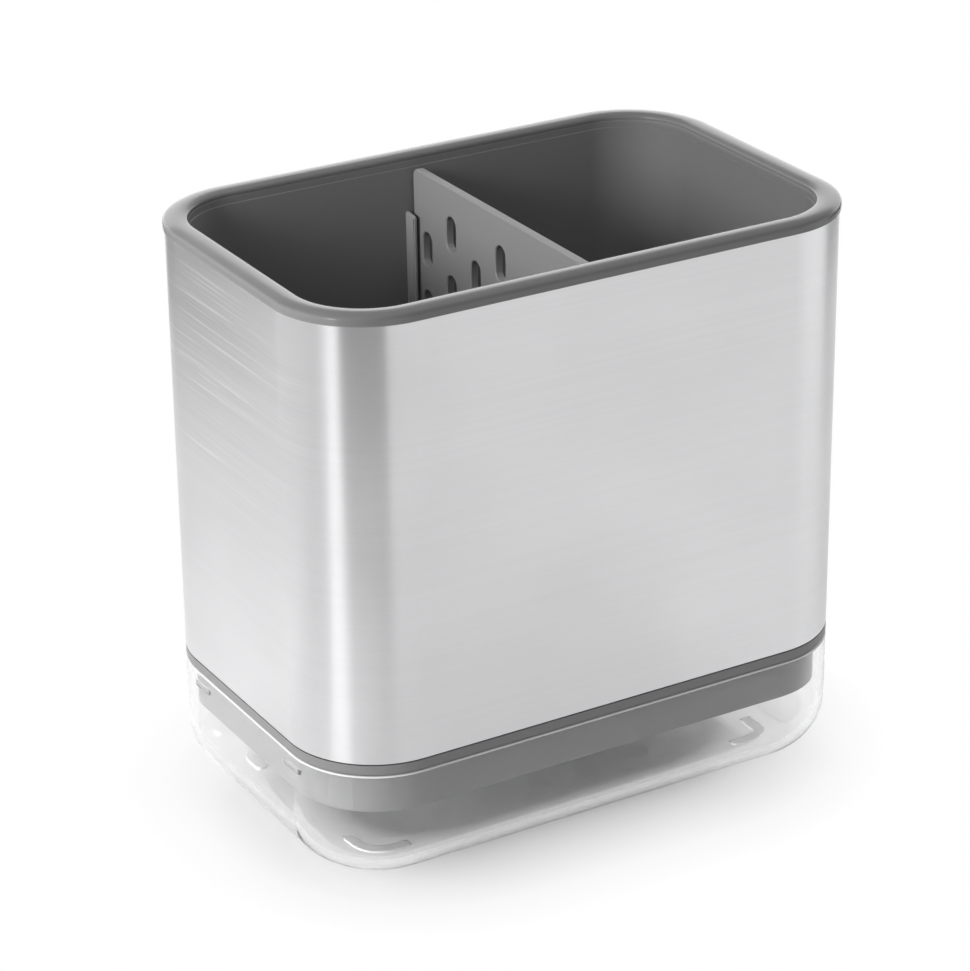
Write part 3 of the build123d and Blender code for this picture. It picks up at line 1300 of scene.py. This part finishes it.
@dataclass
class DividerPlate:
    """The lift-out divider: a plate with round edges and staggered upright slots."""

    outline: Outline
    finish: MouldedPlastic
    thickness: float = 2.4 * MM
    low: float = 27.3 * MM
    high: float = 159.5 * MM
    low_half_depth: float = 45.32 * MM
    high_half_depth: float = 46.48 * MM
    top_radius: float = 2.5 * MM
    bottom_radius: float = 7.0 * MM
    corner_steps: int = 10
    edge_radius: float = 0.5 * MM
    edge_steps: int = 8
    flat_margin: float = 0.2 * MM
    slot_width: float = 5.2 * MM
    slot_length: float = 10.0 * MM
    slot_flare: float = 0.3 * MM
    slot_sides: int = 20
    slot_top_drop: float = 13.3 * MM
    slot_row_pitch: float = 17.0 * MM
    slot_rows: int = 7
    slot_columns: int = 7
    column_share: float = 0.1215

    def edge(self) -> list[Point2]:
        """Lay out the round edge as inset and height.

        Returns:
            The steps, from one face of the plate to the other.
        """
        half = self.thickness / 2
        steps = [(self.edge_radius + self.flat_margin, half)]
        for step in range(self.edge_steps + 1):
            turn = math.pi / 2 * step / self.edge_steps
            inset = self.edge_radius * (1 - math.sin(turn))
            steps.append((inset, half - self.edge_radius * (1 - math.cos(turn))))
        return steps + [(inset, -height) for inset, height in reversed(steps)]

    def plate(self) -> Mesh:
        """Build the closed plate with rounded edges, not yet slotted.

        Returns:
            The plate's mesh.
        """
        corners = [
            Corner(-self.low_half_depth, self.low, self.bottom_radius),
            Corner(self.low_half_depth, self.low, self.bottom_radius),
            Corner(self.high_half_depth, self.high, self.top_radius),
            Corner(-self.high_half_depth, self.high, self.top_radius),
        ]
        rounded = rounded_section(corners, closed=True, steps=self.corner_steps)
        rim = [Vector(point) for point in rounded]
        count = len(rim)
        outward = []
        for number in range(count):
            run = (rim[(number + 1) % count] - rim[number - 1]).normalized()
            outward.append(Vector((run.y, -run.x)))
        form = bmesh.new()
        rings = [
            [form.verts.new((x, *(point - out * inset))) for point, out in zip(rim, outward)]
            for inset, x in self.edge()
        ]
        for first, second in zip(rings, rings[1:]):
            for number in range(count):
                after = (number + 1) % count
                form.faces.new((first[number], first[after], second[after], second[number]))
        form.faces.new(rings[0])
        form.faces.new(rings[-1][::-1])
        bmesh.ops.recalc_face_normals(form, faces=form.faces)
        mesh = bpy.data.meshes.new("divider_plate")
        form.to_mesh(mesh)
        form.free()
        return mesh

    def build(self) -> None:
        """Slot the plate and set it on its body."""
        middle_row = (self.slot_rows - 1) / 2
        values = {
            "Hole Width": self.slot_width,
            "Hole Length": self.slot_length,
            "Wall": self.thickness,
            "Flare": self.slot_flare,
            "Sides": self.slot_sides,
            "Lines": self.slot_columns,
            "Per Line": self.slot_rows,
            "Line Pitch": self.outline.depth * self.column_share,
            "Place Pitch": self.slot_row_pitch,
            "First Short": 1,
            "Centre Height": self.high - self.slot_top_drop - middle_row * self.slot_row_pitch,
            "Tip": -math.pi / 2,
            "Finish": self.finish.material(),
        }
        piece = grow("divider_plate", self.plate(), perforated_wall(), values)
        set_piece(piece, Body.DIVIDER, Slot.DIVIDER, "divider")


@dataclass
class RimRing:
    """The crowned rim that caps the sleeve, with its two legs inside the sleeve."""

    outline: Outline
    finish: MouldedPlastic
    low: float = 160.0 * MM
    high: float = 163.0 * MM
    overhang: float = 0.5 * MM
    inner_inset: float = 6.2 * MM
    crest_inset: float = 3.2 * MM
    outer_fall: float = 0.7 * MM
    inner_fall: float = 0.5 * MM
    crown_steps: int = 16
    arc_steps: int = 8
    arc_reach: float = 1.3
    outer_radius: float = 1.1 * MM
    inner_radius: float = 0.75 * MM
    underside_radius: float = 0.3 * MM
    liner_top: float = 161.4 * MM
    leg_low: float = 154.0 * MM
    outer_leg: Point2 = (0.9 * MM, 2.1 * MM)
    inner_leg: Point2 = (2.7 * MM, 3.9 * MM)

    def crown_height(self, inset: float) -> float:
        """Find the height of the crowned top, which falls both ways from its crest.

        Args:
            inset: How far in from the outline.

        Returns:
            The height in metres.
        """
        if inset < self.crest_inset:
            share = (self.crest_inset - inset) / (self.crest_inset + self.overhang)
            return self.high - self.outer_fall * share * share
        share = (inset - self.crest_inset) / (self.inner_inset - self.crest_inset)
        return self.high - self.inner_fall * share * share

    def section(self) -> list[Point2]:
        """Lay out the ring's section, from the outer lower edge over the top to the legs.

        Returns:
            The section's points as inset and height.
        """
        corners = [
            Corner(-self.overhang, self.low, self.underside_radius),
            Corner(-self.overhang, self.crown_height(-self.overhang), self.outer_radius),
        ]
        start = self.outer_radius * self.arc_reach - self.overhang
        end = self.inner_inset - self.inner_radius * self.arc_reach
        for step in range(self.crown_steps + 1):
            inset = start + (end - start) * step / self.crown_steps
            corners.append(Corner(inset, self.crown_height(inset)))
        inner_height = self.crown_height(self.inner_inset)
        corners.append(Corner(self.inner_inset, inner_height, self.inner_radius))
        corners.append(Corner(self.inner_inset, self.liner_top))
        for (near, far), root in ((self.inner_leg, self.liner_top), (self.outer_leg, self.low)):
            corners += [
                Corner(far, root),
                Corner(far, self.leg_low),
                Corner(near, self.leg_low),
                Corner(near, self.low),
            ]
        return rounded_section(corners, closed=True, steps=self.arc_steps)

    def build(self) -> None:
        """Sweep the ring and set it on the caddy."""
        ring = sweep("crowned_rim", self.outline, self.section(), self.finish.material())
        set_piece(ring, Body.CADDY, Slot.RIM, "rim_ring")


@dataclass
class BaseCollar:
    """The collar: a band with shadow grooves over and under it, a skirt and an upstand."""

    outline: Outline
    finish: MouldedPlastic
    low: float = 35.2 * MM
    high: float = 38.8 * MM
    groove: Point2 = (1.2 * MM, 0.4 * MM)
    lower_groove: Point2 = (0.8 * MM, 0.35 * MM)
    edge_radius: float = 0.35 * MM
    groove_radius: float = 0.06 * MM
    inner_inset: float = 4.9 * MM
    skirt_inset: float = 3.3 * MM
    skirt_low: float = 23.3 * MM
    skirt_radius: float = 0.5 * MM
    upstand_inner: float = 2.7 * MM
    upstand_high: float = 44.8 * MM
    upstand_radius: float = 0.3 * MM

    def section(self) -> list[Point2]:
        """Lay out the collar's section, from the band's lower edge up and round.

        Returns:
            The section's points as inset and height.
        """
        depth, height = self.groove
        lower_depth, lower_height = self.lower_groove
        corners = [
            Corner(lower_depth, self.low),
            Corner(lower_depth, self.low + lower_height),
            Corner(0.0, self.low + lower_height, self.edge_radius),
            Corner(0.0, self.high - height, self.groove_radius),
            Corner(depth, self.high - height),
            Corner(depth, self.upstand_high, self.upstand_radius),
            Corner(self.upstand_inner, self.upstand_high, self.upstand_radius),
            Corner(self.upstand_inner, self.high),
            Corner(self.inner_inset, self.high),
            Corner(self.inner_inset, self.skirt_low),
            Corner(self.skirt_inset, self.skirt_low, self.skirt_radius),
            Corner(self.skirt_inset, self.low),
        ]
        return rounded_section(corners, closed=True)

    def build(self) -> None:
        """Sweep the collar and set it on the caddy."""
        collar = sweep("grooved_collar", self.outline, self.section(), self.finish.material())
        set_piece(collar, Body.CADDY, Slot.COLLAR, "base_collar")


@dataclass
class Sleeve:
    """The brushed steel sleeve."""

    steel: BrushedSteel

    def build(self) -> None:
        """Dress the sleeve."""
        dress_node("steel_sleeve", self.steel.material())


@dataclass
class DripTray:
    """The clear tray, with a round lip and a deep round lower edge, and the pads under its corners."""

    outline: Outline
    clear: ClearPlastic
    rubber: PadRubber
    low: float = 0.8 * MM
    high: float = 35.2 * MM
    wall: float = 2.4 * MM
    floor_reach: float = 24.0 * MM
    lower_radius: float = 15.5 * MM
    lip_radius: float = 0.5 * MM
    inner_lip_radius: float = 0.3 * MM
    arc_steps: int = 18
    bump_spread: float = 26.0 * MM
    bump_height: float = 30.4 * MM
    bump_size: Point3 = (1.7 * MM, 8.0 * MM, 2.4 * MM)
    bump_proud: float = 0.5 * MM
    bump_taper: float = 0.5
    pocket_inset: float = 18.3 * MM
    pocket_width: float = 3.4 * MM
    pocket_top: float = 1.2 * MM
    pocket_height: float = 2.4 * MM
    pocket_leg: float = 5.1 * MM
    pads: tuple[str, ...] = ("front_left", "front_right", "back_left", "back_right")

    def shell(self, finish: Material) -> Mesh:
        """Sweep the tray's wall and close its floor.

        Args:
            finish: The tray's material.

        Returns:
            The closed tray's mesh, without its bumps and pockets.
        """
        floor_top = self.low + self.wall
        corners = [
            Corner(self.floor_reach, self.low),
            Corner(0.0, self.low, self.lower_radius),
            Corner(0.0, self.high, self.lip_radius),
            Corner(self.wall, self.high, self.inner_lip_radius),
            Corner(self.wall, floor_top, self.lower_radius - self.wall),
            Corner(self.floor_reach, floor_top),
        ]
        section = rounded_section(corners, closed=False, steps=self.arc_steps)
        return take_mesh(sweep("clear_tray", self.outline, section, finish, closed=False))

    def build(self) -> None:
        """Build the tray and dress its pads."""
        clear = self.clear.material()
        outline = self.outline
        values = {
            "Wall Distance": outline.length / 2 - self.wall - self.bump_proud + self.bump_size[0] / 2,
            "Spread": self.bump_spread,
            "Height": self.bump_height,
            "Bump Size": self.bump_size,
            "Taper": self.bump_taper,
            "Length": outline.length - 2 * self.pocket_inset,
            "Depth": outline.depth - 2 * self.pocket_inset,
            "Corner Radius": outline.radius - self.pocket_inset,
            "Pocket Width": self.pocket_width,
            "Pocket Height": self.pocket_height,
            "Centre Height": self.pocket_top - self.pocket_height / 2,
            "Leg": self.pocket_leg,
            "Finish": clear,
        }
        tray = grow("clear_tray", self.shell(clear), fitted_tray(), values)
        set_piece(tray, Body.TRAY, Slot.CLEAR, "drip_tray")
        rubber = self.rubber.material()
        for corner in self.pads:
            dress_node(f"foot_pad_{corner}", rubber)


# Studio


def lit_material(name: str) -> tuple[Material, Graph]:
    """Make a material whose tree is still empty.

    Args:
        name: The material's name.

    Returns:
        The material and its graph.
    """
    material = bpy.data.materials.new(name)
    material.use_nodes = True
    material.node_tree.nodes.clear()
    return material, Graph(material.node_tree)


def either_ray(graph: Graph, *rays: str) -> Socket:
    """Return the socket that is 1 where a ray is of one of two kinds."""
    path = graph.node("ShaderNodeLightPath").outputs
    return graph.math("MAXIMUM", path[rays[0]], path[rays[1]])


@dataclass
class Floor:
    """The pale studio floor, which keeps the object's shadow and is white to the camera further out, with
    painted shade: camera and transmission rays see it darker, and a painted fade by distance from an
    outline round the object sets how far the shadow reaches.
    """

    radius: float = 4.0
    sides: int = 96
    shade: float = 0.72
    # Painted shade: camera and transmission rays see the darker floor colour below, which deepens the
    # shadow near and under the object; the fade after it paints how far that shadow reaches
    seen_painted_shade: float = 0.45
    painted_shadow_fade_start: float = -20.0 * MM
    painted_shadow_fade_end: float = 32.0 * MM
    painted_shadow_fade_steps: tuple[Point2, ...] = (
        (0.0, 0.0),
        (0.12, 0.27),
        (0.3, 0.5),
        (0.5, 0.68),
        (0.72, 0.88),
        (1.0, 1.0),
    )
    # The outline that the painted shadow fade follows, with wider corners than the object's
    footprint: Outline = Outline(151.0 * MM, 107.0 * MM, 44.0 * MM)

    def build(self) -> None:
        """Make the floor."""
        mesh = bpy.data.meshes.new("studio_floor")
        form = bmesh.new()
        bmesh.ops.create_circle(form, cap_ends=True, radius=self.radius, segments=self.sides)
        form.to_mesh(mesh)
        form.free()
        material, graph = lit_material("studio_floor")
        seen = either_ray(graph, "Is Camera Ray", "Is Transmission Ray")
        shade = graph.ranged(seen, (0.0, 1.0), (self.shade, self.seen_painted_shade))
        paper = graph.out("ShaderNodeBsdfDiffuse", {"Color": shade})
        white = graph.out("ShaderNodeEmission", {"Strength": 1.0})
        away = graph.ranged(self.distance(graph), (self.painted_shadow_fade_start, self.painted_shadow_fade_end), (0.0, 1.0))
        # Painted shadow: seen by the camera and through the tray, the floor is darker near the object and
        # fades to white away from it
        painted_shadow_fade = graph.times(seen, graph.ramp(away, self.painted_shadow_fade_steps))
        graph.node("ShaderNodeOutputMaterial", {"Surface": graph.mixed(painted_shadow_fade, paper, white)})
        mesh.materials.append(material)
        add_object("studio_floor", mesh)

    def distance(self, graph: Graph) -> Socket:
        """Measure how far a point of the floor is outside the object's footprint.

        Args:
            graph: The floor material's graph.

        Returns:
            The socket of the distance, below zero inside the footprint.
        """
        radius = self.footprint.radius
        core = (self.footprint.length / 2 - radius, self.footprint.depth / 2 - radius, 0.0)
        spot = graph.node("ShaderNodeTexCoord").outputs["Object"]
        beside = graph.vectors("ABSOLUTE", spot)["Vector"]
        past = graph.vectors("SUBTRACT", beside, core)["Vector"]
        outside = graph.vectors("MAXIMUM", past, (0.0, 0.0, 0.0))["Vector"]
        return graph.minus(graph.vectors("LENGTH", outside)["Value"], radius)


@dataclass(frozen=True)
class Sun:
    """A soft lamp at infinity, placed by where its light comes from."""

    name: str
    azimuth: float
    elevation: float
    strength: float
    spread_degrees: float
    in_gloss: bool = True

    def build(self) -> None:
        """Add the lamp to the scene."""
        data = bpy.data.lights.new(self.name, "SUN")
        data.energy = self.strength
        data.angle = math.radians(self.spread_degrees)
        lamp = add_object(self.name, data)
        lamp.rotation_euler = facing(direction(self.azimuth, self.elevation))
        lamp.visible_glossy = self.in_gloss


@dataclass(frozen=True)
class SoftBox:
    """A wide lamp near the object, placed by its middle and turned to a point."""

    name: str
    middle: Point3
    aim: Point3
    size: Point2
    power: float

    def build(self) -> None:
        """Add the lamp to the scene."""
        data = bpy.data.lights.new(self.name, "AREA")
        data.shape = "RECTANGLE"
        data.size, data.size_y = self.size
        data.energy = self.power
        lamp = add_object(self.name, data)
        lamp.location = self.middle
        lamp.rotation_euler = facing(Vector(self.middle) - Vector(self.aim))
        hide_from(lamp, "glossy", "camera", "transmission")


def direction(azimuth: float, elevation: float) -> Vector:
    """Return the unit vector towards an azimuth, from -Y towards +X, and an elevation, in degrees."""
    turn, rise = math.radians(azimuth), math.radians(elevation)
    return Vector((math.sin(turn) * math.cos(rise), -math.cos(turn) * math.cos(rise), math.sin(rise)))


def facing(back: Vector) -> Euler:
    """Return the rotation of a lamp that shines away from a direction."""
    return back.to_track_quat("Z", "Y").to_euler()


def hide_from(thing: Piece, *rays: str) -> None:
    """Hide an object from kinds of ray."""
    for ray in rays:
        setattr(thing, f"visible_{ray}", False)


@dataclass(frozen=True)
class Card:
    """A card, dark or bright, on an arc round the object, upright or sloped, which only gloss shows."""

    name: str
    azimuth: float
    width_degrees: float
    distance: float
    low: float
    high: float
    tone: float
    slope: float = 0.0
    steps: int = 12

    def build(self) -> None:
        """Add the card to the scene, hidden from every ray but gloss."""
        form = bmesh.new()
        rails = []
        for height, distance in ((self.low, self.distance), (self.high, self.distance + self.slope)):
            rail = []
            for step in range(self.steps + 1):
                turn = self.azimuth + self.width_degrees * (step / self.steps - 0.5)
                spot = direction(turn, 0.0) * distance + Vector((0.0, 0.0, height))
                rail.append(form.verts.new(spot))
            rails.append(rail)
        low, high = rails
        for step in range(self.steps):
            form.faces.new((low[step], low[step + 1], high[step + 1], high[step]))
        mesh = bpy.data.meshes.new(self.name)
        form.to_mesh(mesh)
        form.free()
        material, graph = lit_material(self.name)
        glow = graph.out("ShaderNodeEmission", {"Strength": self.tone})
        graph.node("ShaderNodeOutputMaterial", {"Surface": glow})
        mesh.materials.append(material)
        card = add_object(self.name, mesh)
        hide_from(card, "camera", "diffuse", "transmission", "volume_scatter", "shadow")


@dataclass
class Surround:
    """The world: white behind the object, brightest overhead, and brighter behind than in front."""

    ambient: Point2 = (0.35, 0.45)
    gloss: Point2 = (0.45, 1.0)
    gloss_bands: tuple[Point2, ...] = ((0.0, 1.0), (0.3, 1.0), (0.6, 0.25), (1.0, 0.15))

    def build(self) -> None:
        """Build the world's nodes."""
        world = bpy.data.worlds.new("studio")
        world.use_nodes = True
        bpy.context.scene.world = world
        graph = Graph(world.node_tree)
        world.node_tree.nodes.clear()
        _, depth, rise = graph.split(graph.node("ShaderNodeTexCoord").outputs["Generated"])
        level = graph.ranged(depth, (-1.0, 1.0), self.gloss)
        gloss = graph.times(level, graph.ramp(rise, self.gloss_bands))
        ambient = graph.ranged(rise, (0.0, 1.0), self.ambient)
        glossy_ray = graph.node("ShaderNodeLightPath").outputs["Is Glossy Ray"]
        light = graph.out("ShaderNodeMix", {0: glossy_ray, 2: ambient, 3: gloss})
        clear = either_ray(graph, "Is Camera Ray", "Is Transmission Ray")
        strength = graph.out("ShaderNodeMix", {0: clear, 2: light, 3: 1.0})
        white = {"Color": (1.0, 1.0, 1.0, 1.0), "Strength": strength}
        graph.node("ShaderNodeOutputWorld", {"Surface": graph.out("ShaderNodeBackground", white)})


@dataclass
class PhotoCamera:
    """The camera at the photograph's place, in degrees and metres, with its lens in millimetres."""

    azimuth: float = -30.349
    elevation: float = 24.572
    roll: float = -0.671
    distance: float = 0.96240
    across: float = -0.00616
    above: float = 0.03880
    aim_height: float = 0.0388
    lens: float = 128.54
    sensor: float = 36.0
    clip: Point2 = (0.01, 50.0)

    def build(self) -> None:
        """Add the camera and make it the scene's own."""
        back = direction(self.azimuth, self.elevation)
        level_right = (-back).cross(Vector((0.0, 0.0, 1.0))).normalized()
        level_up = level_right.cross(-back)
        roll = math.radians(self.roll)
        right = level_right * math.cos(roll) + level_up * math.sin(roll)
        up = level_up * math.cos(roll) - level_right * math.sin(roll)
        data = bpy.data.cameras.new("photo_camera")
        data.lens = self.lens
        data.sensor_width = self.sensor
        data.clip_start, data.clip_end = self.clip
        camera = add_object("photo_camera", data)
        turn = Matrix((right, up, back)).transposed().to_4x4()
        aim = Vector((0.0, 0.0, self.aim_height))
        spot = aim + back * self.distance + right * self.across + up * self.above
        camera.matrix_world = Matrix.Translation(spot) @ turn
        bpy.context.scene.camera = camera


@dataclass
class Studio:
    """The floor, lamps, surround and camera together."""

    floor: Floor = field(default_factory=Floor)
    surround: Surround = field(default_factory=Surround)
    camera: PhotoCamera = field(default_factory=PhotoCamera)
    left_box: SoftBox = SoftBox("left_box", (-0.24, 0.0, 0.235), (0.0, 0.0, 0.15), (0.12, 0.09), 0.5)
    lamps: tuple[Sun, ...] = (
        Sun("key_light", -84.0, 18.0, 1.6, 28.0, in_gloss=False),
        Sun("left_fill", -90.0, 0.6, 2.6, 1.0, in_gloss=False),
        Sun("back_light", 168.0, 50.0, 1.3, 14.0, in_gloss=False),
        Sun("right_light", 98.0, 30.0, 1.5, 20.0, in_gloss=False),
        Sun("front_fill", -15.0, 40.0, 0.5, 50.0, in_gloss=False),
        Sun("strip_light", -68.0, 20.0, 0.5, 12.0),
    )
    cards: tuple[Card, ...] = (
        Card("front_dark", -37.5, 45.0, 0.42, 0.0, 0.5, 0.05),
        Card("strip_glow", -65.5, 14.0, 0.13, 0.001, 0.002, 1.4, slope=0.4),
        Card("right_dark", 94.0, 34.0, 0.43, 0.03, 0.16, 0.1),
        Card("right_bright", 57.0, 26.0, 0.43, 0.0, 0.3, 1.1),
        Card("left_dim", -156.0, 34.0, 0.4, 0.0, 0.14, 0.35),
        Card("left_soft", -108.0, 62.0, 0.4, 0.0, 0.14, 0.75),
        Card("back_bright", 145.0, 100.0, 0.7, 0.05, 0.5, 1.9),
    )

    def build(self) -> None:
        """Build every part of the studio."""
        for part in (self.floor, self.surround, self.camera, self.left_box, *self.lamps, *self.cards):
            part.build()
        bpy.context.scene.view_settings.view_transform = "Standard"


def main() -> None:
    """Build the caddy's finishes and fine shapes, then the studio."""
    logging.basicConfig(level=logging.INFO, format="%(name)s: %(message)s")
    body_outline = Outline(165.0 * MM, 107.0 * MM, 25.6 * MM)
    Sleeve(BrushedSteel("brushed_steel", (0.71, 0.71, 0.72), 0.3)).build()
    RimRing(body_outline, MouldedPlastic("rim_plastic", (0.096, 0.096, 0.096), 0.16)).build()
    BaseCollar(body_outline, MouldedPlastic("collar_plastic", (0.12, 0.12, 0.12), 0.38)).build()
    Tub(
        body_outline,
        finish=MouldedPlastic("liner_plastic", (0.122, 0.122, 0.122), 0.38),
        # Painted light: the ribs wear a paler copy of the liner's plastic for the light from the left
        painted_lit_rib_finish=MouldedPlastic("guide_rib_painted_lit_plastic", (0.19, 0.19, 0.19), 0.38),
    ).build()
    DividerPlate(body_outline, MouldedPlastic("divider_plastic", (0.162, 0.162, 0.162), 0.5)).build()
    DripTray(
        body_outline,
        clear=ClearPlastic("clear_plastic", (0.945, 0.946, 0.946), 0.015),
        rubber=PadRubber("pad_rubber", (0.68, 0.68, 0.68), 0.5),
    ).build()
    Studio().build()


if __name__ == "__main__":
    main()
